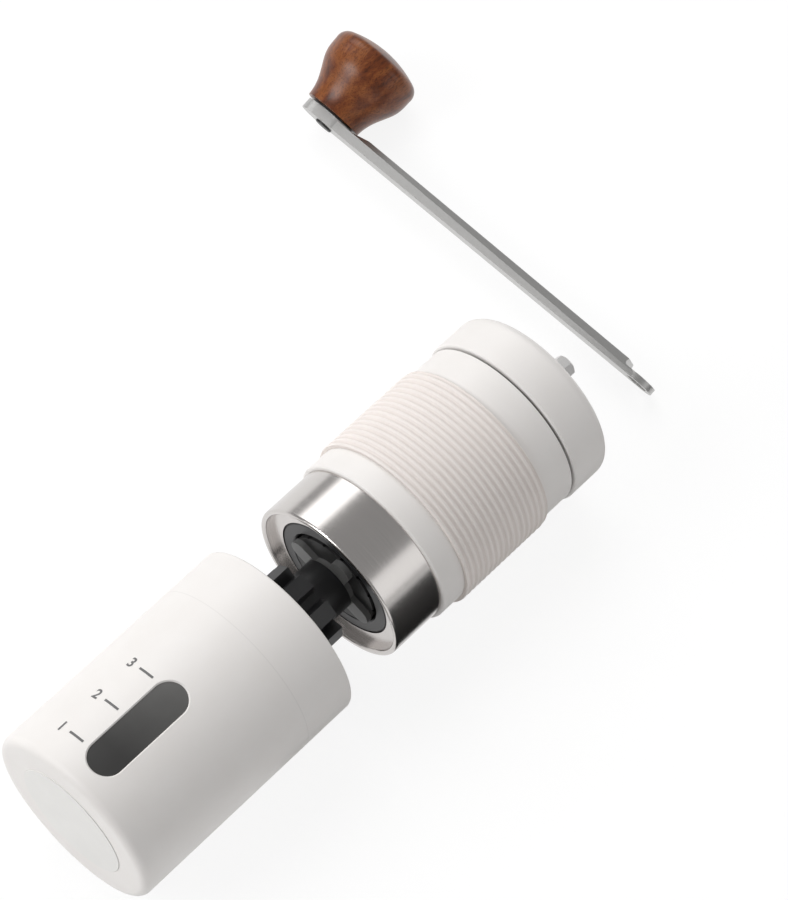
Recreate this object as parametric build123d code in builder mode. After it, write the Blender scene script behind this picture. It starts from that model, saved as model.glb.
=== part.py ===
"""Hand-cranked coffee grinder, laid out apart on a table.

X runs along the grinder from the jar's base to the drive shaft's tip, Y points to the crank's
knob and Z is up. The origin is the centre of the jar's base. Lengths are in millimetres.
"""

import os
from math import asin, cos, pi, radians, sin, sqrt

from build123d import *

# Clearances
PRESS_GAP = 0.03
RUN_GAP = 0.1
SLIP_GAP = 0.3
SOCKET_GAP = 0.25

# Jar
JAR_RADIUS = 29.0
JAR_LENGTH = 81.7
JAR_WALL = 1.7
JAR_FLOOR = 4.0
JAR_BASE_ROUND = 2.6
JAR_MOUTH_ROUND = 0.7
PAD_RADIUS = 18.6
PAD_DEPTH = 2.0
PAD_PROUD = 0.15
DISH_RADIUS = 25.4
DISH_DEPTH = 0.15
WINDOW_START = 6.7
WINDOW_LENGTH = 34.7
WINDOW_WIDTH = 10.8
WINDOW_LIP = 0.9
WINDOW_RECESS = 0.5
WINDOW_EDGE = 0.4
WINDOW_TURN = 8.3
SEAL_SECTION = 0.8
SEAL_SETBACK = 7.0

# Gap between jar and body as laid out
LAID_GAP = 20.3

# Collar
COLLAR_LENGTH = 18.2
COLLAR_WALL = 1.8
COLLAR_INSERT = 6.0
RIM_RECESS = 2.6
FLANGE_THICK = 1.2
FLANGE_HOLE = 20.5

# Barrel and grip
BARREL_INSET = 0.8
BARREL_LENGTH = 54.7
BRIDGE_THICK = 4.0
BRIDGE_RIM = 2.4
HOPPER_STEP = 0.9
UPPER_LEDGE = 38.0
LEDGE_STEP = 0.6
SEAM_HEIGHT = 0.75
SEAM_DEPTH = 0.9
GRIP_START = 8.6
GRIP_LENGTH = 33.9
GRIP_SKIN = 0.75
RIB_RISE = 0.5
RIB_COUNT = 16

# Lid
LID_HEIGHT = 15.0
LID_WALL = 2.2
LID_TOP_ROUND = 3.6
LID_HOLE = 4.6
PLUG_DEPTH = 5.0
PLUG_WALL = 1.8
LID_SEAL_SECTION = 0.5

# Shaft, bushes and spring
SHAFT_RADIUS = 3.0
HEX_FLATS = 6.4
HEX_HEIGHT = 13.3
HEX_DEPTH = 5.5
SHAFT_FLAT = 2.3
BURR_ROOM = 1.0
THREAD_RADIUS = 2.3
BUSH_RADIUS = 4.5
BUSH_FLANGE = 6.0
BUSH_FLANGE_THICK = 1.0
HUB_RADIUS = 7.0
HUB_LENGTH = 6.0
CLIP_RADIUS = 5.0
CLIP_THICK = 0.8
CLIP_GROOVE = 0.6
ARM_COUNT = 3
ARM_WIDTH = 4.0
WASHER_THICK = 0.6
SPRING_WIRE = 0.8
SPRING_RADIUS = 4.4
SPRING_TURNS = 3.5

# Burrs
RING_RADIUS = 18.0
RING_HEIGHT = 12.0
RING_TOP_BORE = 12.4
RING_LOW_BORE = 16.0
RING_TEETH = 24
RING_GROOVE = 1.2
CONE_TOP = 6.4
CONE_LOW = 15.3
CONE_HEIGHT = 11.0
CONE_LAND = 1.5
CONE_TEETH = 14
CONE_GROOVE = 1.9
CONE_SKEW = 35.0
HOLDER_FLANGE = 3.0
HOLDER_NECK = 20.2
PLATE_RADIUS = 15.6
PLATE_WIDTH = 6.8
PLATE_HUB = 8.0
PLATE_THICK = 1.8
PLATE_COUNT = 4
PLATE_TURN = 20.0

# Adjuster
STAR_RADIUS = 13.5
STAR_ROOT = 10.3
STAR_TEETH = 8
STAR_TOOTH = 5.4
STAR_HEIGHT = 7.9
STAR_FLANGE = 2.5
STAR_EDGE = 0.5
STAR_HUB = 8.6
STAR_HUB_LENGTH = 8.5
NUT_FLATS = 9.0
NUT_HEIGHT = 5.0

# Crank
ARM_LENGTH = 132.0
ARM_BAR = 11.0
ARM_THICK = 3.4
ARM_EDGE_PIN = 3.2
ARM_EDGE_EYE = 1.4
ARM_CROWN = 7.4
ARM_SWELL = 1.2
ARM_SWELL_EYE = 0.6
SWELL_RUN = 6.0
SWELL_CLEAR = 0.8
EYE_RADIUS = 5.6
EYE_THICK = 2.0
EYE_SCOOP = 1.3
BOSS_REACH = 9.2
BOSS_WIDTH = 11.3
BOSS_RISE = 0.1
CRANK_ABOVE_LID = 9.6
PIN_RADIUS = 2.4
PIN_HEAD = 3.0
PIN_HEAD_THICK = 0.6
PIN_TOP_RADIUS = 4.0
PIN_TOP_THICK = 1.5
KNOB_WASHER = 7.6
KNOB_HEIGHT = 25.6
KNOB_BASE = 9.9
KNOB_WIDE = 15.2
KNOB_TOP_EDGE = 12.6
KNOB_DOME = 2.4
KNOB_BUSH = 3.8
KNOB_BUSH_LENGTH = 13.0
PLUG_RADIUS = 5.2
PLUG_THICK = 3.0
CRANK_TILT = 20.0
CRANK_TURN = -1.2
CRANK_ASIDE = 27.8
CRANK_PAST = 10.6

# Stations along the grinder
X_COLLAR = JAR_LENGTH + LAID_GAP
X_SHOULDER = X_COLLAR + COLLAR_LENGTH
X_SEAM = X_SHOULDER + BARREL_LENGTH
X_LID_TOP = X_SEAM + LID_HEIGHT
X_TIP = X_LID_TOP + HEX_HEIGHT
X_FLANGE = X_COLLAR + RIM_RECESS
X_FLANGE_TOP = X_FLANGE + FLANGE_THICK
X_RING = X_FLANGE_TOP
X_RING_TOP = X_RING + RING_HEIGHT
X_CONE = X_RING - CONE_LAND
X_CONE_TOP = X_CONE + CONE_LAND + CONE_HEIGHT
X_PLATE = X_CONE - PLATE_THICK
X_ADJUST = X_PLATE - RUN_GAP
X_ADJUST_END = X_ADJUST - STAR_HUB_LENGTH - STAR_HEIGHT
X_BRIDGE = X_SHOULDER + COLLAR_INSERT
X_HOPPER = X_BRIDGE + BRIDGE_THICK
X_LEDGE = X_SHOULDER + UPPER_LEDGE
X_UPPER_TOP = X_LEDGE + BRIDGE_THICK
X_CRANK = X_LID_TOP + CRANK_ABOVE_LID

# Radii that follow from the jar and the fits
BARREL_RADIUS = JAR_RADIUS - BARREL_INSET
GRIP_BASE = BARREL_RADIUS + GRIP_SKIN
GRIP_RADIUS = GRIP_BASE + RIB_RISE
GRIP_MID = GRIP_BASE + RIB_RISE / 2
LID_RADIUS = JAR_RADIUS
COLLAR_RADIUS = JAR_RADIUS - JAR_WALL - SLIP_GAP
BORE = COLLAR_RADIUS + PRESS_GAP
HOPPER_BORE = BORE - HOPPER_STEP
LEDGE_BORE = HOPPER_BORE + LEDGE_STEP
PLUG_OUTER = LEDGE_BORE - SLIP_GAP
COLLAR_BORE = COLLAR_RADIUS - COLLAR_WALL
BUSH_BORE = SHAFT_RADIUS + RUN_GAP
HEX_CORNER = HEX_FLATS / 2 / cos(pi / 6)

# Crank as laid out: its eye and its knob's lower rim touch the table
TABLE = -GRIP_RADIUS
ARM_MID = ARM_THICK / 2
Z_BOSS = ARM_MID + BOSS_RISE
Z_KNOB = Z_BOSS + WASHER_THICK + RUN_GAP
TILT = radians(CRANK_TILT)
TURN = radians(CRANK_TURN)
PIN_REST_Z = TABLE + KNOB_BASE * cos(TILT) - Z_KNOB * sin(TILT)
EYE_REST_Z = TABLE + EYE_RADIUS * cos(TILT) + ARM_MID * sin(TILT)
ARM_DIP = asin((PIN_REST_Z - EYE_REST_Z) / (ARM_LENGTH * cos(TILT)))
KNOB_AXIS = Vector(cos(TILT) * cos(TURN), cos(TILT) * sin(TURN), sin(TILT))
LEVEL = Vector(sin(TURN), -cos(TURN), 0)
DOWN = Vector(sin(TILT) * cos(TURN), sin(TILT) * sin(TURN), -cos(TILT))
ARM_LINE = LEVEL * cos(ARM_DIP) + DOWN * sin(ARM_DIP)
PIN_REST = Vector(X_CRANK + CRANK_ASIDE, ARM_LENGTH - CRANK_PAST, PIN_REST_Z)
CRANK_PLANE = Plane(origin=PIN_REST, x_dir=ARM_LINE, z_dir=KNOB_AXIS)
KNOB_PROFILE = Plane(origin=PIN_REST, x_dir=-ARM_LINE, z_dir=KNOB_AXIS.cross(ARM_LINE))
KNOB_LINE = Axis(PIN_REST, KNOB_AXIS)

MAIN_AXIS = Axis((0, 0, 0), (1, 0, 0))
PROFILE = Plane(origin=(0, 0, 0), x_dir=(0, 1, 0), z_dir=(0, 0, -1))


def station(along, turn=0.0):
    """Plane square to the grinder's axis, turned about it by an angle in degrees."""
    side = (0, cos(radians(turn)), sin(radians(turn)))
    return Plane(origin=(along, 0, 0), x_dir=side, z_dir=(1, 0, 0))


def corner(sketch, radius, along):
    """Sketch vertex nearest to a point of the profile."""
    return sketch.vertices().sort_by_distance((radius, along))[0]


def block(inner, outer, low, high, mode=Mode.ADD):
    """Rectangle of the profile between two radii and two stations."""
    with Locations(((inner + outer) / 2, (low + high) / 2)):
        Rectangle(outer - inner, high - low, mode=mode)


def off_axis(point):
    """Distance of a point from the grinder's axis."""
    return Vector(0, point.Y, point.Z).length


def turned(radius, along, turn):
    """Point at a radius from the grinder's axis, turned about it."""
    return Vector(along, radius * cos(radians(turn)), radius * sin(radians(turn)))


def groove(turn, low, high, skew=0.0):
    """Plane across a groove that runs between two points of a burr's profile."""
    start = turned(low[0], low[1], turn)
    end = turned(high[0], high[1], turn + skew)
    return Plane(origin=(start + end) / 2, x_dir=turned(1, 0, turn), z_dir=end - start)


def bridge(low, outer):
    """Ring with arms and a hub, its ring's lower face at a station."""
    arm_reach = outer - BRIDGE_RIM - HUB_RADIUS
    with BuildSketch(station(low)) as rim:
        Circle(outer)
        Circle(outer - BRIDGE_RIM, mode=Mode.SUBTRACT)
        with PolarLocations(HUB_RADIUS + arm_reach / 2, ARM_COUNT):
            Rectangle(arm_reach + BRIDGE_RIM, ARM_WIDTH)
        Circle(HUB_RADIUS)
    extrude(rim.sketch, amount=BRIDGE_THICK)
    with BuildSketch(station(low + BRIDGE_THICK - HUB_LENGTH)) as hub:
        Circle(HUB_RADIUS)
    extrude(hub.sketch, amount=HUB_LENGTH)
    with BuildSketch(station(low + BRIDGE_THICK - HUB_LENGTH)) as bore:
        Circle(BUSH_RADIUS + PRESS_GAP)
    extrude(bore.sketch, amount=HUB_LENGTH, mode=Mode.SUBTRACT)


def flatted_bore():
    """Bore with two flats that slides on the shaft's flats."""
    Circle(SHAFT_RADIUS + RUN_GAP)
    with Locations((0, 0)):
        Rectangle(4 * SHAFT_RADIUS, 2 * (SHAFT_FLAT + RUN_GAP), mode=Mode.INTERSECT)


# Jar
with BuildPart() as jar_shell:
    with BuildSketch(PROFILE) as jar_profile:
        block(0, JAR_RADIUS, PAD_PROUD, JAR_LENGTH)
        block(0, JAR_RADIUS - JAR_WALL, JAR_FLOOR, JAR_LENGTH, Mode.SUBTRACT)
        with BuildLine():
            Polyline(
                (DISH_RADIUS, PAD_PROUD),
                (PAD_RADIUS, PAD_PROUD + DISH_DEPTH),
                (PAD_RADIUS, PAD_PROUD),
                close=True,
            )
        make_face(mode=Mode.SUBTRACT)
        block(0, PAD_RADIUS, PAD_PROUD, PAD_DEPTH, Mode.SUBTRACT)
        with Locations((JAR_RADIUS - JAR_WALL, JAR_LENGTH - SEAL_SETBACK)):
            Circle(SEAL_SECTION, mode=Mode.SUBTRACT)
        fillet(corner(jar_profile, JAR_RADIUS, PAD_PROUD), JAR_BASE_ROUND)
        fillet(corner(jar_profile, JAR_RADIUS, JAR_LENGTH), JAR_MOUTH_ROUND)
        fillet(corner(jar_profile, JAR_RADIUS - JAR_WALL, JAR_FLOOR), JAR_BASE_ROUND)
    revolve(axis=MAIN_AXIS)
    WINDOW_MID = WINDOW_START + WINDOW_LENGTH / 2
    WINDOW_OUT = (0, -sin(radians(WINDOW_TURN)), cos(radians(WINDOW_TURN)))
    WINDOW_PLANE = Plane(origin=(WINDOW_MID, 0, 0), x_dir=(1, 0, 0), z_dir=WINDOW_OUT)
    with BuildSketch(WINDOW_PLANE):
        SlotOverall(WINDOW_LENGTH, WINDOW_WIDTH)
    extrude(amount=2 * JAR_RADIUS, mode=Mode.SUBTRACT)
    slot_edges = jar_shell.edges(Select.LAST)
    chamfer(slot_edges.filter_by(lambda edge: off_axis(edge @ 0.5) > JAR_RADIUS - RUN_GAP), WINDOW_EDGE)
jar_shell.part.label = "jar_shell"

with BuildPart() as jar_window:
    with BuildSketch(PROFILE):
        block(
            JAR_RADIUS - JAR_WALL,
            JAR_RADIUS - WINDOW_RECESS,
            WINDOW_START - WINDOW_LIP,
            WINDOW_START + WINDOW_LENGTH + WINDOW_LIP,
        )
    revolve(axis=MAIN_AXIS)
    with BuildSketch(WINDOW_PLANE):
        SlotOverall(WINDOW_LENGTH - 2 * PRESS_GAP, WINDOW_WIDTH - 2 * PRESS_GAP)
    extrude(amount=2 * JAR_RADIUS, mode=Mode.INTERSECT)
jar_window.part.label = "jar_window"

with BuildPart() as base_pad:
    with BuildSketch(PROFILE) as pad_profile:
        block(0, PAD_RADIUS - PRESS_GAP, 0, PAD_DEPTH)
        fillet(corner(pad_profile, PAD_RADIUS, 0), PAD_PROUD)
    revolve(axis=MAIN_AXIS)
base_pad.part.label = "base_pad"

with BuildPart() as jar_seal:
    with BuildSketch(PROFILE):
        with Locations((JAR_RADIUS - JAR_WALL, JAR_LENGTH - SEAL_SETBACK)):
            Circle(SEAL_SECTION - PRESS_GAP)
        block(
            0,
            COLLAR_RADIUS + RUN_GAP,
            JAR_LENGTH - SEAL_SETBACK - SEAL_SECTION,
            JAR_LENGTH - SEAL_SETBACK + SEAL_SECTION,
            Mode.SUBTRACT,
        )
    revolve(axis=MAIN_AXIS)
jar_seal.part.label = "jar_seal"

# Collar: drawn steel ring with a flange set back from its lower rim
with BuildPart() as collar:
    with BuildSketch(PROFILE) as collar_profile:
        block(COLLAR_BORE, COLLAR_RADIUS, X_COLLAR, X_BRIDGE)
        block(FLANGE_HOLE, COLLAR_RADIUS, X_FLANGE, X_FLANGE_TOP)
        fillet(corner(collar_profile, COLLAR_RADIUS, X_COLLAR), COLLAR_WALL * 0.45)
        fillet(corner(collar_profile, COLLAR_BORE, X_COLLAR), COLLAR_WALL * 0.45)
    revolve(axis=MAIN_AXIS)
collar.part.label = "collar"

# Barrel: the hopper's wall
with BuildPart() as barrel:
    with BuildSketch(PROFILE) as barrel_profile:
        block(HOPPER_BORE, BARREL_RADIUS, X_SHOULDER, X_SEAM)
        block(0, BORE, X_SHOULDER, X_HOPPER, Mode.SUBTRACT)
        block(0, LEDGE_BORE, X_LEDGE, X_SEAM, Mode.SUBTRACT)
        block(BARREL_RADIUS - SEAM_DEPTH, GRIP_RADIUS, X_SEAM - SEAM_HEIGHT, X_SEAM, Mode.SUBTRACT)
        fillet(corner(barrel_profile, BARREL_RADIUS, X_SHOULDER), SEAM_HEIGHT)
    revolve(axis=MAIN_AXIS)
barrel.part.label = "barrel"

# Grip: sleeve with round ribs
X_GRIP = X_SHOULDER + GRIP_START
X_GRIP_END = X_GRIP + GRIP_LENGTH
RIB_PITCH = GRIP_LENGTH / RIB_COUNT
with BuildPart() as grip_sleeve:
    with BuildSketch(PROFILE):
        with BuildLine():
            Polyline(
                (GRIP_MID, X_GRIP),
                (BARREL_RADIUS + PRESS_GAP, X_GRIP),
                (BARREL_RADIUS + PRESS_GAP, X_GRIP_END),
                (GRIP_MID, X_GRIP_END),
            )
            for half in range(2 * RIB_COUNT):
                low = X_GRIP + half * RIB_PITCH / 2
                ThreePointArc(
                    (GRIP_MID, low),
                    (GRIP_BASE if half % 2 else GRIP_RADIUS, low + RIB_PITCH / 4),
                    (GRIP_MID, low + RIB_PITCH / 2),
                )
        make_face()
    revolve(axis=MAIN_AXIS)
grip_sleeve.part.label = "grip_sleeve"

# Lid with its plug
with BuildPart() as lid:
    with BuildSketch(PROFILE) as lid_profile:
        block(0, LID_RADIUS, X_SEAM, X_LID_TOP)
        block(0, PLUG_OUTER, X_SEAM - PLUG_DEPTH, X_SEAM)
        block(0, PLUG_OUTER - PLUG_WALL, X_SEAM - PLUG_DEPTH, X_LID_TOP - LID_WALL, Mode.SUBTRACT)
        block(0, LID_HOLE, X_SEAM, X_LID_TOP, Mode.SUBTRACT)
        with Locations((PLUG_OUTER, X_SEAM - PLUG_DEPTH / 2)):
            Circle(LID_SEAL_SECTION, mode=Mode.SUBTRACT)
        fillet(corner(lid_profile, LID_RADIUS, X_LID_TOP), LID_TOP_ROUND)
        fillet(corner(lid_profile, LID_RADIUS, X_SEAM), SEAM_HEIGHT)
        fillet(corner(lid_profile, PLUG_OUTER - PLUG_WALL, X_LID_TOP - LID_WALL), LID_WALL)
        chamfer(corner(lid_profile, LID_HOLE, X_LID_TOP), SEAM_HEIGHT)
    revolve(axis=MAIN_AXIS)
lid.part.label = "lid"

with BuildPart() as lid_seal:
    with BuildSketch(PROFILE):
        with Locations((PLUG_OUTER, X_SEAM - PLUG_DEPTH / 2)):
            Circle(LID_SEAL_SECTION - PRESS_GAP)
        block(LEDGE_BORE - RUN_GAP, JAR_RADIUS, X_SEAM - PLUG_DEPTH, X_SEAM, Mode.SUBTRACT)
    revolve(axis=MAIN_AXIS)
lid_seal.part.label = "lid_seal"

# Burr holder: sits on the collar's flange and carries the ring burr
RING_SEAT = RING_RADIUS + PRESS_GAP
with BuildPart() as burr_holder:
    with BuildSketch(PROFILE) as holder_profile:
        block(RING_LOW_BORE, HOLDER_NECK, X_FLANGE, X_FLANGE_TOP)
        block(RING_SEAT, COLLAR_BORE - PRESS_GAP, X_FLANGE_TOP, X_FLANGE_TOP + HOLDER_FLANGE)
        block(RING_SEAT, HOLDER_NECK, X_FLANGE_TOP, X_RING_TOP)
        fillet(corner(holder_profile, HOLDER_NECK, X_FLANGE), FLANGE_THICK * 0.4)
        chamfer(corner(holder_profile, RING_LOW_BORE, X_FLANGE), FLANGE_THICK * 0.4)
    revolve(axis=MAIN_AXIS)
burr_holder.part.label = "burr_holder"

with BuildPart() as ring_burr:
    with BuildSketch(PROFILE):
        with BuildLine():
            Polyline(
                (RING_LOW_BORE, X_RING),
                (RING_RADIUS, X_RING),
                (RING_RADIUS, X_RING_TOP),
                (RING_TOP_BORE, X_RING_TOP),
                close=True,
            )
        make_face()
    revolve(axis=MAIN_AXIS)
    for tooth in range(RING_TEETH):
        turn = tooth * 360 / RING_TEETH
        cut = groove(turn, (RING_LOW_BORE, X_RING), (RING_TOP_BORE, X_RING_TOP))
        with BuildSketch(cut):
            Rectangle(RING_GROOVE, RING_GROOVE, rotation=45)
        extrude(amount=2 * RING_HEIGHT, both=True, mode=Mode.SUBTRACT)
ring_burr.part.label = "ring_burr"

# Bridges: a ring, arms and a hub for a bush
with BuildPart() as lower_bridge:
    bridge(X_BRIDGE, COLLAR_RADIUS)
lower_bridge.part.label = "lower_bridge"

with BuildPart() as upper_bridge:
    bridge(X_LEDGE, LEDGE_BORE - PRESS_GAP)
upper_bridge.part.label = "upper_bridge"

X_LOWER_HUB = X_HOPPER - HUB_LENGTH
with BuildPart() as lower_bush:
    with BuildSketch(PROFILE):
        block(BUSH_BORE, BUSH_RADIUS, X_LOWER_HUB, X_HOPPER)
        block(BUSH_BORE, BUSH_FLANGE, X_LOWER_HUB - BUSH_FLANGE_THICK, X_LOWER_HUB)
    revolve(axis=MAIN_AXIS)
lower_bush.part.label = "lower_bush"

X_UPPER_HUB = X_UPPER_TOP - HUB_LENGTH
X_UPPER_BUSH = X_UPPER_TOP + BUSH_FLANGE_THICK
with BuildPart() as upper_bush:
    with BuildSketch(PROFILE):
        block(BUSH_BORE, BUSH_RADIUS, X_UPPER_HUB, X_UPPER_TOP)
        block(BUSH_BORE, BUSH_FLANGE, X_UPPER_TOP, X_UPPER_BUSH)
    revolve(axis=MAIN_AXIS)
upper_bush.part.label = "upper_bush"

# Drive shaft: hexagon, round journal, flats for the burr and a threaded foot
X_HEX = X_LID_TOP - HEX_DEPTH
X_FOOT = X_ADJUST_END + STAR_FLANGE
X_FLATS = X_PLATE + BURR_ROOM
X_CLIP_LOW = X_UPPER_HUB - RUN_GAP - CLIP_THICK
X_CLIP_HIGH = X_UPPER_BUSH + RUN_GAP
with BuildPart() as drive_shaft:
    with BuildSketch(PROFILE) as shaft_profile:
        block(0, SHAFT_RADIUS, X_FLATS, X_HEX)
        block(0, THREAD_RADIUS, X_FOOT, X_FLATS)
        for clip in (X_CLIP_LOW, X_CLIP_HIGH):
            block(SHAFT_RADIUS - CLIP_GROOVE, HEX_CORNER, clip, clip + CLIP_THICK, Mode.SUBTRACT)
        chamfer(corner(shaft_profile, THREAD_RADIUS, X_FOOT), CLIP_GROOVE)
    revolve(axis=MAIN_AXIS)
    with BuildSketch(station(X_HEX)):
        RegularPolygon(HEX_FLATS / 2, 6, major_radius=False)
    extrude(amount=X_TIP - X_HEX)
    with BuildSketch(PROFILE):
        with BuildLine():
            Polyline(
                (HEX_FLATS / 2 - CLIP_GROOVE / 2, X_TIP),
                (HEX_CORNER + CLIP_GROOVE, X_TIP),
                (HEX_CORNER + CLIP_GROOVE, X_TIP - 2 * CLIP_GROOVE),
                close=True,
            )
        make_face()
    revolve(axis=MAIN_AXIS, mode=Mode.SUBTRACT)
    for side in (1, -1):
        with BuildSketch(station(X_FLATS)):
            with Locations((0, side * (SHAFT_FLAT + SHAFT_RADIUS))):
                Rectangle(4 * SHAFT_RADIUS, 2 * SHAFT_RADIUS)
        extrude(amount=X_CONE_TOP - X_PLATE, mode=Mode.SUBTRACT)
drive_shaft.part.label = "drive_shaft"

with BuildPart() as shaft_clips:
    for clip in (X_CLIP_LOW, X_CLIP_HIGH):
        with BuildSketch(station(clip)):
            Circle(CLIP_RADIUS)
            Circle(SHAFT_RADIUS - CLIP_GROOVE + PRESS_GAP, mode=Mode.SUBTRACT)
            with Locations((CLIP_RADIUS / 2, 0)):
                Rectangle(CLIP_RADIUS, 2 * SHAFT_RADIUS - 4 * CLIP_GROOVE, mode=Mode.SUBTRACT)
        extrude(amount=CLIP_THICK)
shaft_clips.part.label = "shaft_clips"

X_WASHER = X_LOWER_HUB - BUSH_FLANGE_THICK - RUN_GAP - WASHER_THICK
with BuildPart() as spring_washer:
    with BuildSketch(PROFILE):
        block(SHAFT_RADIUS + RUN_GAP, BUSH_FLANGE, X_WASHER, X_WASHER + WASHER_THICK)
    revolve(axis=MAIN_AXIS)
spring_washer.part.label = "spring_washer"

SPRING_SPAN = X_WASHER - X_CONE_TOP - SPRING_WIRE - 2 * RUN_GAP
X_SPRING = X_CONE_TOP + SPRING_WIRE / 2 + RUN_GAP
with BuildPart() as burr_spring:
    with BuildLine() as spring_path:
        Helix(
            SPRING_SPAN / SPRING_TURNS,
            SPRING_SPAN,
            SPRING_RADIUS,
            center=(X_SPRING, 0, 0),
            direction=(1, 0, 0),
        )
    with BuildSketch(Plane(origin=spring_path.line @ 0, z_dir=spring_path.line % 0)):
        Circle(SPRING_WIRE / 2)
    sweep(is_frenet=True)
burr_spring.part.label = "burr_spring"

# Cone burr and its click plate turn with the shaft and slide along its flats
with BuildPart() as cone_burr:
    with BuildSketch(PROFILE):
        with BuildLine():
            Polyline(
                (0, X_CONE),
                (CONE_LOW, X_CONE),
                (CONE_LOW, X_RING),
                (CONE_TOP, X_CONE_TOP),
                (0, X_CONE_TOP),
                close=True,
            )
        make_face()
    revolve(axis=MAIN_AXIS)
    for tooth in range(CONE_TEETH):
        turn = tooth * 360 / CONE_TEETH
        cut = groove(turn, (CONE_LOW, X_RING), (CONE_TOP, X_CONE_TOP), CONE_SKEW)
        with BuildSketch(cut):
            Rectangle(CONE_GROOVE, CONE_GROOVE, rotation=45)
        extrude(amount=2 * CONE_HEIGHT, both=True, mode=Mode.SUBTRACT)
    with BuildSketch(station(X_CONE)):
        flatted_bore()
    extrude(amount=X_CONE_TOP - X_CONE, mode=Mode.SUBTRACT)
cone_burr.part.label = "cone_burr"

with BuildPart() as click_plate:
    with BuildSketch(station(X_PLATE, PLATE_TURN)):
        Circle(PLATE_HUB)
        with PolarLocations(PLATE_RADIUS / 2 - PLATE_WIDTH / 4, PLATE_COUNT):
            Rectangle(PLATE_RADIUS - PLATE_WIDTH / 2, PLATE_WIDTH)
        with PolarLocations(PLATE_RADIUS - PLATE_WIDTH / 2, PLATE_COUNT):
            Circle(PLATE_WIDTH / 2)
    extrude(amount=PLATE_THICK)
    with BuildSketch(station(X_PLATE)):
        flatted_bore()
    extrude(amount=PLATE_THICK, mode=Mode.SUBTRACT)
click_plate.part.label = "click_plate"

# Adjuster: star knob with a nut in it
X_STAR = X_ADJUST - STAR_HUB_LENGTH
with BuildPart() as adjuster:
    with BuildSketch(station(X_STAR)):
        Circle(STAR_HUB)
    extrude(amount=STAR_HUB_LENGTH)
    with BuildSketch(station(X_ADJUST_END)):
        Circle(STAR_ROOT)
        with PolarLocations(STAR_RADIUS / 2, STAR_TEETH):
            Rectangle(STAR_RADIUS, STAR_TOOTH)
    extrude(amount=STAR_HEIGHT)
    fillet(adjuster.faces().sort_by(Axis.X)[0].outer_wire().edges(), STAR_EDGE)
    with BuildSketch(station(X_STAR + STAR_HUB_LENGTH - NUT_HEIGHT)):
        RegularPolygon(NUT_FLATS / 2 + PRESS_GAP, 6, major_radius=False)
    extrude(amount=NUT_HEIGHT, mode=Mode.SUBTRACT)
    with BuildSketch(station(X_ADJUST_END)):
        Circle(THREAD_RADIUS + SLIP_GAP)
    extrude(amount=X_ADJUST - X_ADJUST_END, mode=Mode.SUBTRACT)
adjuster.part.label = "adjuster"

with BuildPart() as adjuster_nut:
    with BuildSketch(station(X_ADJUST - NUT_HEIGHT)):
        RegularPolygon(NUT_FLATS / 2, 6, major_radius=False)
        Circle(THREAD_RADIUS + RUN_GAP, mode=Mode.SUBTRACT)
    extrude(amount=NUT_HEIGHT)
adjuster_nut.part.label = "adjuster_nut"

# Crank arm: lies with its knob's axis tilted up from the table, and swells beyond the knob
SWELL_START = KNOB_BASE + SWELL_CLEAR
with BuildPart() as crank_arm:
    for reach, swell in (
        (0, 0),
        (SWELL_START, 0),
        (SWELL_START + SWELL_RUN, ARM_SWELL),
        (ARM_LENGTH, ARM_SWELL_EYE),
    ):
        edge = ARM_EDGE_PIN + (ARM_EDGE_EYE - ARM_EDGE_PIN) * reach / ARM_LENGTH
        with BuildSketch(Plane(PIN_REST + ARM_LINE * reach, CRANK_PLANE.y_dir, ARM_LINE)):
            with BuildLine():
                Polyline(
                    (-ARM_BAR / 2, -ARM_MID),
                    (ARM_BAR / 2, -ARM_MID),
                    (ARM_BAR / 2, edge - ARM_MID),
                    (ARM_CROWN / 2, ARM_MID + swell),
                    (-ARM_CROWN / 2, ARM_MID + swell),
                    (-ARM_BAR / 2, edge - ARM_MID),
                    close=True,
                )
            make_face()
    loft(ruled=True)
    with BuildSketch(CRANK_PLANE.offset(-ARM_MID)):
        SlotOverall(2 * BOSS_REACH, BOSS_WIDTH)
    extrude(amount=ARM_THICK + BOSS_RISE)
    with BuildSketch(CRANK_PLANE.offset(-ARM_MID)):
        with Locations((ARM_LENGTH, 0)):
            Circle(EYE_RADIUS)
    extrude(amount=EYE_THICK)
    with BuildSketch(Plane(PIN_REST, ARM_LINE, -CRANK_PLANE.y_dir)) as scoop:
        with Locations((ARM_LENGTH, EYE_THICK + ARM_MID)):
            Rectangle(2 * EYE_RADIUS, 4 * ARM_MID)
        fillet(corner(scoop, ARM_LENGTH - EYE_RADIUS, EYE_THICK - ARM_MID), EYE_SCOOP)
    extrude(amount=ARM_BAR, both=True, mode=Mode.SUBTRACT)
    with BuildSketch(CRANK_PLANE.offset(-ARM_MID)):
        Circle(PIN_RADIUS + RUN_GAP)
    extrude(amount=ARM_THICK + BOSS_RISE, mode=Mode.SUBTRACT)
    with BuildSketch(CRANK_PLANE.offset(-ARM_MID)):
        with Locations((ARM_LENGTH, 0)):
            RegularPolygon(HEX_FLATS / 2 + SOCKET_GAP, 6, major_radius=False)
    extrude(amount=ARM_THICK, mode=Mode.SUBTRACT)
crank_arm.part.label = "crank_arm"

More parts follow.
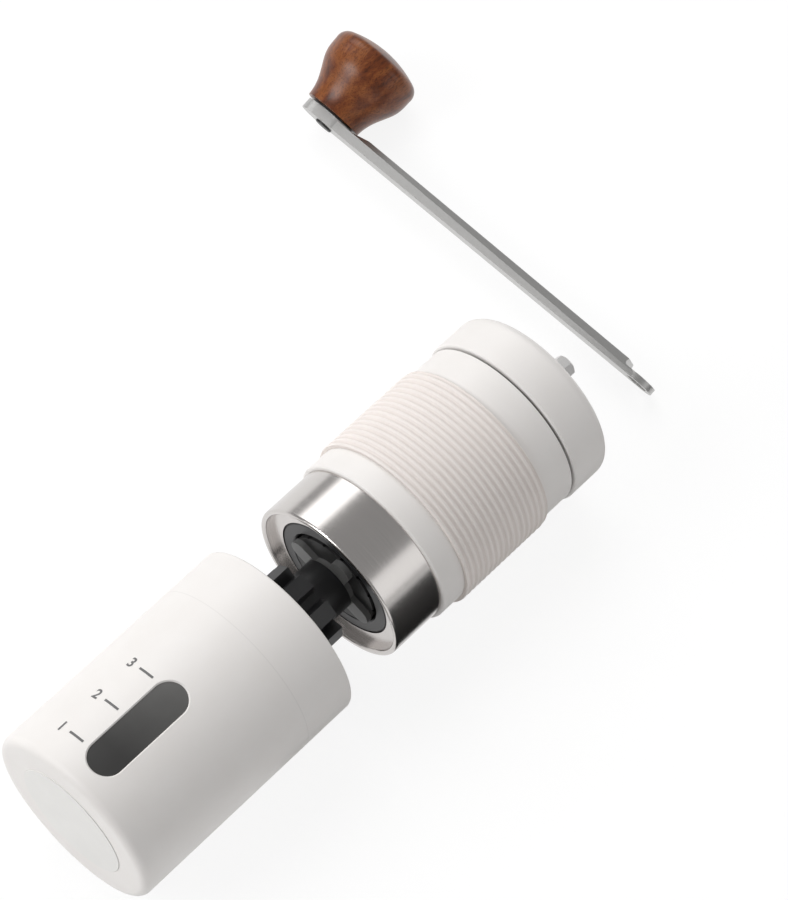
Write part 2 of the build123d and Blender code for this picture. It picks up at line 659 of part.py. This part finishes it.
# Pin: shoulder rivet, free to turn in the arm and in the knob
Z_PIN_TOP = Z_KNOB + KNOB_BUSH_LENGTH + RUN_GAP
with BuildPart() as knob_pin:
    with BuildSketch(KNOB_PROFILE) as pin_profile:
        block(0, PIN_HEAD, -ARM_MID - RUN_GAP - PIN_HEAD_THICK, -ARM_MID - RUN_GAP)
        block(0, PIN_RADIUS, -ARM_MID - RUN_GAP, Z_PIN_TOP)
        block(0, PIN_TOP_RADIUS, Z_PIN_TOP, Z_PIN_TOP + PIN_TOP_THICK)
        low_edge = corner(pin_profile, PIN_HEAD, -ARM_MID - RUN_GAP - PIN_HEAD_THICK)
        fillet(low_edge, PIN_HEAD_THICK * 0.7)
    revolve(axis=KNOB_LINE)
knob_pin.part.label = "knob_pin"

with BuildPart() as knob_washer:
    with BuildSketch(KNOB_PROFILE):
        block(PIN_RADIUS + RUN_GAP, KNOB_WASHER, Z_BOSS, Z_BOSS + WASHER_THICK)
    revolve(axis=KNOB_LINE)
knob_washer.part.label = "knob_washer"


def dome(radius):
    """Point of the knob's domed top at a radius."""
    sphere = (KNOB_TOP_EDGE**2 + KNOB_DOME**2) / (2 * KNOB_DOME)
    return (radius, Z_KNOB + KNOB_HEIGHT - sphere + sqrt(sphere**2 - radius**2))


def knob_outline():
    """Closed half profile of the turned knob."""
    flare = KNOB_WIDE - KNOB_BASE
    widest = (KNOB_WIDE, Z_KNOB + KNOB_HEIGHT * 0.74)
    rim = dome(KNOB_TOP_EDGE)
    Spline(
        (KNOB_BASE, Z_KNOB),
        (KNOB_BASE + flare * 0.24, Z_KNOB + KNOB_HEIGHT * 0.23),
        (KNOB_BASE + flare * 0.80, Z_KNOB + KNOB_HEIGHT * 0.47),
        widest,
        tangents=((0.05, 1), (0, 1)),
    )
    ThreePointArc(widest, (KNOB_WIDE * 0.968, Z_KNOB + KNOB_HEIGHT * 0.84), rim)
    ThreePointArc(rim, dome(KNOB_TOP_EDGE / 2), dome(0))
    Polyline(dome(0), (0, Z_KNOB), (KNOB_BASE, Z_KNOB))


with BuildPart() as knob:
    with BuildSketch(KNOB_PROFILE):
        with BuildLine():
            knob_outline()
        make_face()
        block(0, KNOB_BUSH + PRESS_GAP, Z_KNOB, Z_KNOB + KNOB_HEIGHT, Mode.SUBTRACT)
        block(0, PLUG_RADIUS, Z_KNOB + KNOB_BUSH_LENGTH, Z_KNOB + KNOB_HEIGHT, Mode.SUBTRACT)
    revolve(axis=KNOB_LINE)
knob.part.label = "knob"

with BuildPart() as knob_plug:
    with BuildSketch(KNOB_PROFILE):
        with BuildLine():
            plug_edge = PLUG_RADIUS - PRESS_GAP
            plug_foot = Z_KNOB + KNOB_HEIGHT - PLUG_THICK
            Polyline(dome(0), (0, plug_foot), (plug_edge, plug_foot), dome(plug_edge))
            ThreePointArc(dome(plug_edge), dome(plug_edge / 2), dome(0))
        make_face()
    revolve(axis=KNOB_LINE)
knob_plug.part.label = "knob_plug"

with BuildPart() as knob_bush:
    with BuildSketch(KNOB_PROFILE):
        block(PIN_RADIUS + RUN_GAP, KNOB_BUSH, Z_KNOB, Z_KNOB + KNOB_BUSH_LENGTH)
    revolve(axis=KNOB_LINE)
knob_bush.part.label = "knob_bush"

os.makedirs("parts", exist_ok=True)
export_step(jar_shell.part, "parts/jar_shell.step")
export_step(jar_window.part, "parts/jar_window.step")
export_step(base_pad.part, "parts/base_pad.step")
export_step(jar_seal.part, "parts/jar_seal.step")
export_step(collar.part, "parts/collar.step")
export_step(barrel.part, "parts/barrel.step")
export_step(grip_sleeve.part, "parts/grip_sleeve.step")
export_step(lid.part, "parts/lid.step")
export_step(lid_seal.part, "parts/lid_seal.step")
export_step(burr_holder.part, "parts/burr_holder.step")
export_step(ring_burr.part, "parts/ring_burr.step")
export_step(lower_bridge.part, "parts/lower_bridge.step")
export_step(lower_bush.part, "parts/lower_bush.step")
export_step(upper_bridge.part, "parts/upper_bridge.step")
export_step(upper_bush.part, "parts/upper_bush.step")
export_step(drive_shaft.part, "parts/drive_shaft.step")
export_step(shaft_clips.part, "parts/shaft_clips.step")
export_step(spring_washer.part, "parts/spring_washer.step")
export_step(burr_spring.part, "parts/burr_spring.step")
export_step(cone_burr.part, "parts/cone_burr.step")
export_step(click_plate.part, "parts/click_plate.step")
export_step(adjuster.part, "parts/adjuster.step")
export_step(adjuster_nut.part, "parts/adjuster_nut.step")
export_step(crank_arm.part, "parts/crank_arm.step")
export_step(knob_pin.part, "parts/knob_pin.step")
export_step(knob_washer.part, "parts/knob_washer.step")
export_step(knob.part, "parts/knob.step")
export_step(knob_plug.part, "parts/knob_plug.step")
export_step(knob_bush.part, "parts/knob_bush.step")
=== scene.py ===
import math

import bpy
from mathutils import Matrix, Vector


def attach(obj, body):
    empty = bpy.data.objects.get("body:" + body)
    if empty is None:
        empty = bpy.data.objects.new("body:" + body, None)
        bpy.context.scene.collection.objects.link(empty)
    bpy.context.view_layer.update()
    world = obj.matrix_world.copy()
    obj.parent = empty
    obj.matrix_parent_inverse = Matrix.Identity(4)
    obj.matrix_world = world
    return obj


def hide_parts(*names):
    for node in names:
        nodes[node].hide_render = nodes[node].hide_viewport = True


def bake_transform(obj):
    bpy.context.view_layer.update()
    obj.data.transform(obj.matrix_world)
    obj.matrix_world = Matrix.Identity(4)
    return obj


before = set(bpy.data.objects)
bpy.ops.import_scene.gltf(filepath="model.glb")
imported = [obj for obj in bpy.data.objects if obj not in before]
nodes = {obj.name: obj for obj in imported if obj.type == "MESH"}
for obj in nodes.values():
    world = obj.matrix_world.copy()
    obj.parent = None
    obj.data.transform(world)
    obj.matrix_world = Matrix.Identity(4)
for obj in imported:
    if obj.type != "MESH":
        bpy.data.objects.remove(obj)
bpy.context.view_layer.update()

# Places on the part, in metres
TABLE_Z = -0.02945
JAR_R = 0.0290
WINDOW_X = (0.0067, 0.0414)

# Painted shade lines round the part, darker colour standing for the shade in a groove: place along
# the grinder, half width and tone
PARTING_LINE_SHADE = (0.0640, 0.0002, 0.93)
LID_GAP_SHADE = (0.17452, 0.0005, 0.10)

# Radii of the grip's grooves and crests, and the tone of the painted shade at the bottom of the
# grooves
RIB_GROOVE_SHADE = (0.02895, 0.02945, (0.91, 0.895, 0.885))

# Finishes
UNTINTED = (1, 1, 1)
WHITE_LIGHT = (0.815, 0.790, 0.770)
WHITE_DARK = (0.800, 0.773, 0.750)
SATIN = 0.46
MOTTLE_SCALE = 90
GRAIN_SCALE = 2600
GRAIN_BUMP, GRAIN_DEPTH = 0.35, 0.00002
PLASTIC_IOR = 1.46
BRUSH_BUMP, BRUSH_DEPTH = 0.05, 0.00002
TURNED_ANISOTROPY = 0.3
FLECK_SCALE = 900
FLECK_TONE = 0.88
MIST_SCALE = 120
PAPER_SCALE = 40

# Wood: the mapping scales before it turns,
# so the turn moves the pattern and the grain stays along X
WOOD_TURN = (0, math.radians(20), 0)
WOOD_GRAIN = (60, 420, 420)
WOOD_PORES = (180, 3600, 3600)
PORE_BUMP, PORE_DEPTH = 0.12, 0.00004

# Printed scale; FIGURE_SHARE is a figure's height as a share of the font's size
INK_R = JAR_R + 0.00004
TICKS = (0.0109, 0.0242, 0.0375)
TICK_FROM, TICK_TO = math.radians(-7.1), math.radians(-17.8)
TICK_HALF = 0.00037
TICK_STEPS = 12
NUMBER_AT = math.radians(-24.6)
NUMBER_HEIGHT = 0.0032
NUMBER_BOLD = 0.00011
FIGURE_SHARE = 0.7

# Studio: places and sizes in metres, power in watts
MIDDLE = (0.11, 0.04, 0.0)
KEY_PLACE, KEY_SIZE, KEY_POWER = (-0.85, 0.62, 0.85), (0.8, 0.8), 10.5
STRIP_PLACE, STRIP_SIZE, STRIP_POWER = (0.55, 0.66, 0.90), (0.9, 1.0), 7.5
RIM_PLACE, RIM_SIZE, RIM_POWER = (0.45, -0.90, 0.34), (0.8, 0.55), 1.1
DARK_CARD_LOW, DARK_CARD_HIGH = (0.06, -0.43), (0.55, -0.029)
DARK_CARD_Z = TABLE_Z + 0.0002
BRIGHT_CARD_PLACE, BRIGHT_CARD_SIZE = (0.50, 0.93, 0.66), (0.9, 0.66)
BRIGHT_CARD_GLOW = 2.1
FLOOR_HALF = 3.0
FLOOR_PLACE = (0.1, 0.05, TABLE_Z - 0.00002)
PAPER_SHARE, PAPER_GLOW = 0.84, 1.04
WORLD_STRENGTH = 0.34

# Camera: lens and sensor in millimetres
CAMERA_PLACE = (-0.2742, -0.3827, 1.0055)
CAMERA_LOOK = (0.3627, 0.344, -0.866)
CAMERA_LENS, CAMERA_SENSOR = 160, 36
CLIP_NEAR, CLIP_FAR = 0.05, 20


# Material helpers

def new_material(name):
    """Material with its node tree and its main shader."""
    mat = bpy.data.materials.new(name)
    mat.use_nodes = True
    tree = mat.node_tree
    bsdf = tree.nodes["Principled BSDF"]
    return mat, tree, bsdf


def add(tree, kind, **values):
    """New node with some of its settings."""
    node = tree.nodes.new(kind)
    for key, value in values.items():
        setattr(node, key, value)
    return node


def local_coords(tree, scale=(1, 1, 1), rotation=(0, 0, 0)):
    """Place on the piece, scaled and then turned."""
    coords = add(tree, "ShaderNodeTexCoord")
    mapping = add(tree, "ShaderNodeMapping")
    mapping.inputs["Scale"].default_value = scale
    mapping.inputs["Rotation"].default_value = rotation
    tree.links.new(coords.outputs["Object"], mapping.inputs["Vector"])
    return mapping.outputs["Vector"]


def noise(tree, vector, scale, detail, rough=0.55):
    """Cloudy values from 0 to 1."""
    node = add(tree, "ShaderNodeTexNoise")
    node.inputs["Scale"].default_value = scale
    node.inputs["Detail"].default_value = detail
    node.inputs["Roughness"].default_value = rough
    tree.links.new(vector, node.inputs["Vector"])
    return node.outputs["Fac"]


def ramp(tree, fac, stops):
    """Colour for a value, from pairs of a value and its colour."""
    node = add(tree, "ShaderNodeValToRGB")
    band = node.color_ramp
    while len(band.elements) < len(stops):
        band.elements.new(0.5)
    for element, (at, colour) in zip(band.elements, stops):
        element.position = at
        element.color = (*colour, 1)
    tree.links.new(fac, node.inputs["Fac"])
    return node.outputs["Color"]


def span(tree, fac, low, high):
    """Runs from low to high while a value runs from 0 to 1."""
    node = add(tree, "ShaderNodeMapRange")
    node.inputs["To Min"].default_value = low
    node.inputs["To Max"].default_value = high
    tree.links.new(fac, node.inputs["Value"])
    return node.outputs["Result"]


def share_between(tree, value, low, high):
    """Runs from 0 to 1 while a value runs from low to high."""
    node = add(tree, "ShaderNodeMapRange")
    node.inputs["From Min"].default_value = low
    node.inputs["From Max"].default_value = high
    tree.links.new(value, node.inputs["Value"])
    return node.outputs["Result"]


def bump(tree, bsdf, height, strength, distance):
    """Fine relief on a shader."""
    node = add(tree, "ShaderNodeBump")
    node.inputs["Strength"].default_value = strength
    node.inputs["Distance"].default_value = distance
    tree.links.new(height, node.inputs["Height"])
    tree.links.new(node.outputs["Normal"], bsdf.inputs["Normal"])


def along_x(tree, low, high):
    """Runs from 0 to 1 between two places along the grinder."""
    coords = add(tree, "ShaderNodeTexCoord")
    split = add(tree, "ShaderNodeSeparateXYZ")
    tree.links.new(coords.outputs["Object"], split.inputs["Vector"])
    return share_between(tree, split.outputs["X"], low, high)


def off_axis(tree, low, high):
    """Runs from 0 to 1 between two radii about the grinder's axis."""
    length = add(tree, "ShaderNodeVectorMath", operation="LENGTH")
    tree.links.new(local_coords(tree, scale=(0, 1, 1)), length.inputs[0])
    return share_between(tree, length.outputs["Value"], low, high)


def multiply(tree, first, second):
    """Product of two colours."""
    mix = add(tree, "ShaderNodeMix", data_type="RGBA", blend_type="MULTIPLY")
    mix.inputs["Factor"].default_value = 1.0
    tree.links.new(first, mix.inputs["A"])
    tree.links.new(second, mix.inputs["B"])
    return mix.outputs["Result"]


def moulding(name, light, dark, rough, shade_line=None, groove_shade=None):
    """Satin moulded plastic with a very fine grain.

    The line argument is a painted shade line's place, half width and tone; the groove argument is
    two radii and the tone at the lower one, which paints shade into the grooves.
    """
    mat, tree, bsdf = new_material(name)
    vector = local_coords(tree)
    wide = noise(tree, vector, MOTTLE_SCALE, 3)
    colour = ramp(tree, wide, [(0.3, dark), (0.7, light)])
    # Painted shade: a darker line round the part where a groove's shade falls
    if shade_line:
        place, half, tone = shade_line
        line = along_x(tree, place - 2 * half, place + 2 * half)
        shade = (tone,) * 3
        stops = [(0.25, UNTINTED), (0.40, shade), (0.60, shade), (0.75, UNTINTED)]
        colour = multiply(tree, colour, ramp(tree, line, stops))
    # Painted shade: darker towards the bottoms of the grip's grooves
    if groove_shade:
        low, high, tone = groove_shade
        stops = [(0.1, tone), (0.8, UNTINTED)]
        colour = multiply(tree, colour, ramp(tree, off_axis(tree, low, high), stops))
    tree.links.new(colour, bsdf.inputs["Base Color"])
    fine = noise(tree, vector, GRAIN_SCALE, 2)
    tree.links.new(span(tree, fine, rough - 0.05, rough + 0.06), bsdf.inputs["Roughness"])
    bsdf.inputs["IOR"].default_value = PLASTIC_IOR
    bump(tree, bsdf, fine, GRAIN_BUMP, GRAIN_DEPTH)
    return mat


def brushed(name, light, dark, scale, rough, turned=False):
    """Worked metal; scale is large across its marks and small along them.

    Highlights on a turned piece are drawn out about the grinder's axis.
    """
    mat, tree, bsdf = new_material(name)
    vector = local_coords(tree, scale=scale)
    lines = noise(tree, vector, 1.0, 6, 0.7)
    tree.links.new(ramp(tree, lines, [(0.25, dark), (0.75, light)]), bsdf.inputs["Base Color"])
    tree.links.new(span(tree, lines, rough - 0.06, rough + 0.08), bsdf.inputs["Roughness"])
    bsdf.inputs["Metallic"].default_value = 1.0
    if turned:
        bsdf.inputs["Anisotropic"].default_value = TURNED_ANISOTROPY
        tangent = add(tree, "ShaderNodeTangent", direction_type="RADIAL", axis="X")
        tree.links.new(tangent.outputs["Tangent"], bsdf.inputs["Tangent"])
    bump(tree, bsdf, lines, BRUSH_BUMP, BRUSH_DEPTH)
    return mat


def plain(name, colour, rough, metallic=0.0):
    """One colour with faint darker flecks."""
    mat, tree, bsdf = new_material(name)
    vector = local_coords(tree)
    fine = noise(tree, vector, FLECK_SCALE, 3)
    low = tuple(c * FLECK_TONE for c in colour)
    tree.links.new(ramp(tree, fine, [(0.3, low), (0.7, colour)]), bsdf.inputs["Base Color"])
    bsdf.inputs["Roughness"].default_value = rough
    bsdf.inputs["Metallic"].default_value = metallic
    return mat


white = moulding("white_moulding", WHITE_LIGHT, WHITE_DARK, SATIN)
# Painted shade lines: at the jar's parting line and in the groove under the lid
jar_white = moulding("jar_moulding", WHITE_LIGHT, WHITE_DARK, SATIN, shade_line=PARTING_LINE_SHADE)
barrel_white = moulding("barrel_moulding", WHITE_LIGHT, WHITE_DARK, SATIN, shade_line=LID_GAP_SHADE)
# The grip's grooves get painted shade
cream = moulding(
    "cream_silicone", (0.822, 0.770, 0.740), (0.812, 0.758, 0.727), 0.62, groove_shade=RIB_GROOVE_SHADE
)
black = moulding("black_moulding", (0.018, 0.018, 0.019), (0.012, 0.012, 0.013), 0.36)
rubber = moulding("pad_silicone", (0.800, 0.790, 0.770), (0.780, 0.770, 0.750), 0.55)
ceramic = moulding("ceramic", (0.030, 0.030, 0.030), (0.020, 0.020, 0.020), 0.5)
grey = moulding("grey_moulding", (0.145, 0.145, 0.143), (0.120, 0.120, 0.118), 0.42)
nylon = plain("bearing_plastic", (0.62, 0.60, 0.54), 0.5)
brass = plain("brass", (0.72, 0.52, 0.22), 0.3, 1.0)
spring_steel = plain("spring_steel", (0.55, 0.55, 0.55), 0.3, 1.0)
seal_rubber = plain("seal_rubber", (0.55, 0.54, 0.52), 0.7)
collar_steel = brushed(
    "collar_steel", (0.67, 0.64, 0.62), (0.59, 0.565, 0.55), (5200, 60, 60), 0.20, turned=True
)
shaft_steel = brushed(
    "shaft_steel", (0.92, 0.91, 0.90), (0.84, 0.83, 0.82), (900, 900, 900), 0.46
)
arm_steel = brushed(
    "arm_steel", (0.60, 0.595, 0.585), (0.54, 0.535, 0.525), (2400, 2400, 2400), 0.42
)
dark_steel = plain("blackened_steel", (0.07, 0.07, 0.07), 0.4, 1.0)


def wood_material():
    """Oiled dark reddish wood with its grain along X, about 20 degrees off the knob's axis."""
    mat, tree, bsdf = new_material("knob_wood")
    vector = local_coords(tree, scale=WOOD_GRAIN, rotation=WOOD_TURN)
    broad = noise(tree, vector, 0.55, 6, 0.62)
    colour = ramp(
        tree,
        broad,
        [
            (0.30, (0.062, 0.014, 0.003)),
            (0.45, (0.150, 0.036, 0.008)),
            (0.58, (0.240, 0.074, 0.018)),
            (0.72, (0.115, 0.026, 0.006)),
        ],
    )
    pores = noise(tree, local_coords(tree, scale=WOOD_PORES, rotation=WOOD_TURN), 1.0, 3, 0.5)
    dark = ramp(tree, pores, [(0.36, (0.45, 0.42, 0.40)), (0.47, UNTINTED)])
    tree.links.new(multiply(tree, colour, dark), bsdf.inputs["Base Color"])
    tree.links.new(span(tree, broad, 0.26, 0.36), bsdf.inputs["Roughness"])
    bsdf.inputs["Specular IOR Level"].default_value = 0.4
    bump(tree, bsdf, pores, PORE_BUMP, PORE_DEPTH)
    return mat


def window_material():
    """Smoked plastic with painted light: a little lighter towards the jar's mouth."""
    mat, tree, bsdf = new_material("smoked_window")
    # Painted light: the colour runs lighter towards the jar's mouth
    tones = [(0.25, (0.060, 0.059, 0.058)), (1.0, (0.145, 0.143, 0.139))]
    along = ramp(tree, along_x(tree, *WINDOW_X), tones)
    mist = noise(tree, local_coords(tree), MIST_SCALE, 2)
    cloud = ramp(tree, mist, [(0.3, (0.9, 0.9, 0.9)), (0.7, UNTINTED)])
    tree.links.new(multiply(tree, along, cloud), bsdf.inputs["Base Color"])
    bsdf.inputs["Roughness"].default_value = 0.30
    bsdf.inputs["Specular IOR Level"].default_value = 0.25
    bsdf.inputs["Transmission Weight"].default_value = 0.12
    bsdf.inputs["IOR"].default_value = 1.45
    return mat


wood = wood_material()
smoked = window_material()

finish_of = {
    "jar_shell": jar_white,
    "jar_window": smoked,
    "base_pad": rubber,
    "jar_seal": seal_rubber,
    "collar": collar_steel,
    "barrel": barrel_white,
    "grip_sleeve": cream,
    "lid": white,
    "lid_seal": seal_rubber,
    "burr_holder": black,
    "ring_burr": ceramic,
    "lower_bridge": black,
    "lower_bush": nylon,
    "upper_bridge": black,
    "upper_bush": nylon,
    "drive_shaft": shaft_steel,
    "shaft_clips": spring_steel,
    "spring_washer": spring_steel,
    "burr_spring": spring_steel,
    "cone_burr": ceramic,
    "click_plate": grey,
    "adjuster": black,
    "adjuster_nut": brass,
    "crank_arm": arm_steel,
    "knob_pin": dark_steel,
    "knob_washer": black,
    "knob": wood,
    "knob_plug": wood,
    "knob_bush": brass,
}
for name, obj in nodes.items():
    obj.data.materials.clear()
    obj.data.materials.append(finish_of[name])


def spring_coil():
    """Copy of the burr spring's mesh with its place baked in; the burr spring itself is hidden."""
    coil = bpy.data.objects.new("spring_coil", nodes["burr_spring"].data.copy())
    bpy.context.collection.objects.link(coil)
    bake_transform(coil)
    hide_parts("burr_spring")


spring_coil()


# Scale printed on the jar beside its window

ink = plain("scale_ink", (0.150, 0.150, 0.150), 0.55)


def on_jar(along, angle):
    """Point on the jar's side; the angle runs from straight up towards -Y."""
    return Vector((along, -INK_R * math.sin(angle), INK_R * math.cos(angle)))


def ink_object(name, verts, faces):
    """Printed mark that goes with the jar."""
    mesh = bpy.data.meshes.new(name)
    mesh.from_pydata(verts, [], faces)
    mesh.materials.append(ink)
    obj = bpy.data.objects.new(name, mesh)
    bpy.context.collection.objects.link(obj)
    for poly in mesh.polygons:
        poly.use_smooth = True
    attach(obj, "jar")


def tick(index, along):
    """Short line round the jar."""
    verts, faces = [], []
    for i in range(TICK_STEPS + 1):
        angle = TICK_FROM + (TICK_TO - TICK_FROM) * i / TICK_STEPS
        verts += [on_jar(along - TICK_HALF, angle), on_jar(along + TICK_HALF, angle)]
    for i in range(TICK_STEPS):
        faces.append((2 * i, 2 * i + 1, 2 * i + 3, 2 * i + 2))
    ink_object(f"scale_tick_{index}", verts, faces)


def number(index, along):
    """Figure beside a tick, wrapped onto the jar."""
    curve = bpy.data.curves.new(f"number_{index}", "FONT")
    curve.body = str(index)
    curve.size = NUMBER_HEIGHT / FIGURE_SHARE
    curve.offset = NUMBER_BOLD
    curve.align_x = "CENTER"
    curve.align_y = "CENTER"
    text = bpy.data.objects.new(f"number_curve_{index}", curve)
    bpy.context.collection.objects.link(text)
    bpy.context.view_layer.update()
    shaped = text.evaluated_get(bpy.context.evaluated_depsgraph_get())
    flat = bpy.data.meshes.new_from_object(shaped)
    verts = [on_jar(along + v.co.y, NUMBER_AT + v.co.x / INK_R) for v in flat.vertices]
    faces = [tuple(p.vertices) for p in flat.polygons]
    bpy.data.objects.remove(text)
    bpy.data.meshes.remove(flat)
    ink_object(f"scale_number_{index}", verts, faces)


for i, along in enumerate(TICKS, start=1):
    tick(i, along)
    number(i, along)


# Floor, light and camera

def whiten(tree, bsdf):
    """The floor reads as white paper to the camera and in reflections, and keeps a soft shadow."""
    path = add(tree, "ShaderNodeLightPath")
    seen = add(tree, "ShaderNodeMath", operation="ADD")
    tree.links.new(path.outputs["Is Camera Ray"], seen.inputs[0])
    tree.links.new(path.outputs["Is Glossy Ray"], seen.inputs[1])
    looked_at = add(tree, "ShaderNodeMath", operation="ADD", use_clamp=True)
    tree.links.new(seen.outputs[0], looked_at.inputs[0])
    tree.links.new(path.outputs["Is Transmission Ray"], looked_at.inputs[1])
    share = add(tree, "ShaderNodeMath", operation="MULTIPLY")
    share.inputs[1].default_value = PAPER_SHARE
    tree.links.new(looked_at.outputs[0], share.inputs[0])
    glow = add(tree, "ShaderNodeEmission")
    glow.inputs["Strength"].default_value = PAPER_GLOW
    mix = add(tree, "ShaderNodeMixShader")
    tree.links.new(share.outputs[0], mix.inputs["Fac"])
    tree.links.new(bsdf.outputs["BSDF"], mix.inputs[1])
    tree.links.new(glow.outputs["Emission"], mix.inputs[2])
    tree.links.new(mix.outputs["Shader"], tree.nodes["Material Output"].inputs["Surface"])


def facing(place, target):
    """Turn that points an object's -Z from a place to a target."""
    return (Vector(target) - Vector(place)).to_track_quat("-Z", "Y")


def rectangle(low, high, height):
    """Corners of a level rectangle."""
    corners = [(low[0], low[1]), (high[0], low[1]), (high[0], high[1]), (low[0], high[1])]
    return [(x, y, height) for x, y in corners]


def sheet(name, corners, mat):
    """Object with one four-cornered face."""
    mesh = bpy.data.meshes.new(name)
    mesh.from_pydata(corners, [], [(0, 1, 2, 3)])
    mesh.materials.append(mat)
    obj = bpy.data.objects.new(name, mesh)
    bpy.context.collection.objects.link(obj)
    return obj


def card(name, corners, mat):
    """Card for polished steel to reflect, hidden from the camera, diffuse light and shadows."""
    obj = sheet(name, corners, mat)
    obj.visible_camera = False
    obj.visible_diffuse = False
    obj.visible_shadow = False


def dark_card():
    """Dark sheet on the floor, seen only in reflections: painted shade standing for a shaded
    floor.
    """
    shade_sheet = plain("card_painted_shade", (0.02, 0.02, 0.02), 0.9)
    card("dark_card", rectangle(DARK_CARD_LOW, DARK_CARD_HIGH, DARK_CARD_Z), shade_sheet)


def bright_card():
    """Glowing card that faces the part."""
    mat, _, bsdf = new_material("card_light")
    bsdf.inputs["Base Color"].default_value = (0, 0, 0, 1)
    bsdf.inputs["Emission Color"].default_value = (1, 1, 1, 1)
    bsdf.inputs["Emission Strength"].default_value = BRIGHT_CARD_GLOW
    turn = facing(BRIGHT_CARD_PLACE, MIDDLE)
    wide, tall = BRIGHT_CARD_SIZE
    level = rectangle((-wide / 2, -tall / 2), (wide / 2, tall / 2), 0)
    corners = [Vector(BRIGHT_CARD_PLACE) + turn @ Vector(corner) for corner in level]
    card("bright_card", corners, mat)


def floor_plane():
    """Pale paper floor."""
    mat, tree, bsdf = new_material("floor_paper")
    fine = noise(tree, local_coords(tree), PAPER_SCALE, 2)
    tones = [(0.3, (0.90, 0.90, 0.90)), (0.7, (0.92, 0.92, 0.92))]
    tree.links.new(ramp(tree, fine, tones), bsdf.inputs["Base Color"])
    bsdf.inputs["Roughness"].default_value = 0.85
    whiten(tree, bsdf)
    corners = rectangle((-FLOOR_HALF, -FLOOR_HALF), (FLOOR_HALF, FLOOR_HALF), 0)
    floor = sheet("floor", corners, mat)
    floor.location = FLOOR_PLACE


def area_light(name, place, size, power, mirrored=True):
    """Soft lamp that points at the middle of the part; mirrored lamps show in reflections."""
    data = bpy.data.lights.new(name, "AREA")
    data.shape = "RECTANGLE"
    data.size, data.size_y = size
    data.energy = power
    light = bpy.data.objects.new(name, data)
    light.location = place
    light.rotation_mode = "QUATERNION"
    light.rotation_quaternion = facing(place, MIDDLE)
    light.visible_camera = False
    light.visible_glossy = mirrored
    bpy.context.collection.objects.link(light)


floor_plane()
area_light("key", KEY_PLACE, KEY_SIZE, KEY_POWER)
area_light("strip", STRIP_PLACE, STRIP_SIZE, STRIP_POWER, mirrored=False)
area_light("rim", RIM_PLACE, RIM_SIZE, RIM_POWER)
dark_card()
bright_card()

world = bpy.data.worlds.new("studio")
world.use_nodes = True
background = world.node_tree.nodes["Background"]
background.inputs["Color"].default_value = (1, 1, 1, 1)
background.inputs["Strength"].default_value = WORLD_STRENGTH
bpy.context.scene.world = world
bpy.context.scene.view_settings.view_transform = "Standard"

camera_data = bpy.data.cameras.new("camera")
camera_data.sensor_width = CAMERA_SENSOR
camera_data.lens = CAMERA_LENS
camera_data.clip_start = CLIP_NEAR
camera_data.clip_end = CLIP_FAR
camera = bpy.data.objects.new("camera", camera_data)
camera.rotation_mode = "QUATERNION"
camera.location = CAMERA_PLACE
camera.rotation_quaternion = Vector(CAMERA_LOOK).to_track_quat("-Z", "Y")
bpy.context.collection.objects.link(camera)
bpy.context.scene.camera = camera
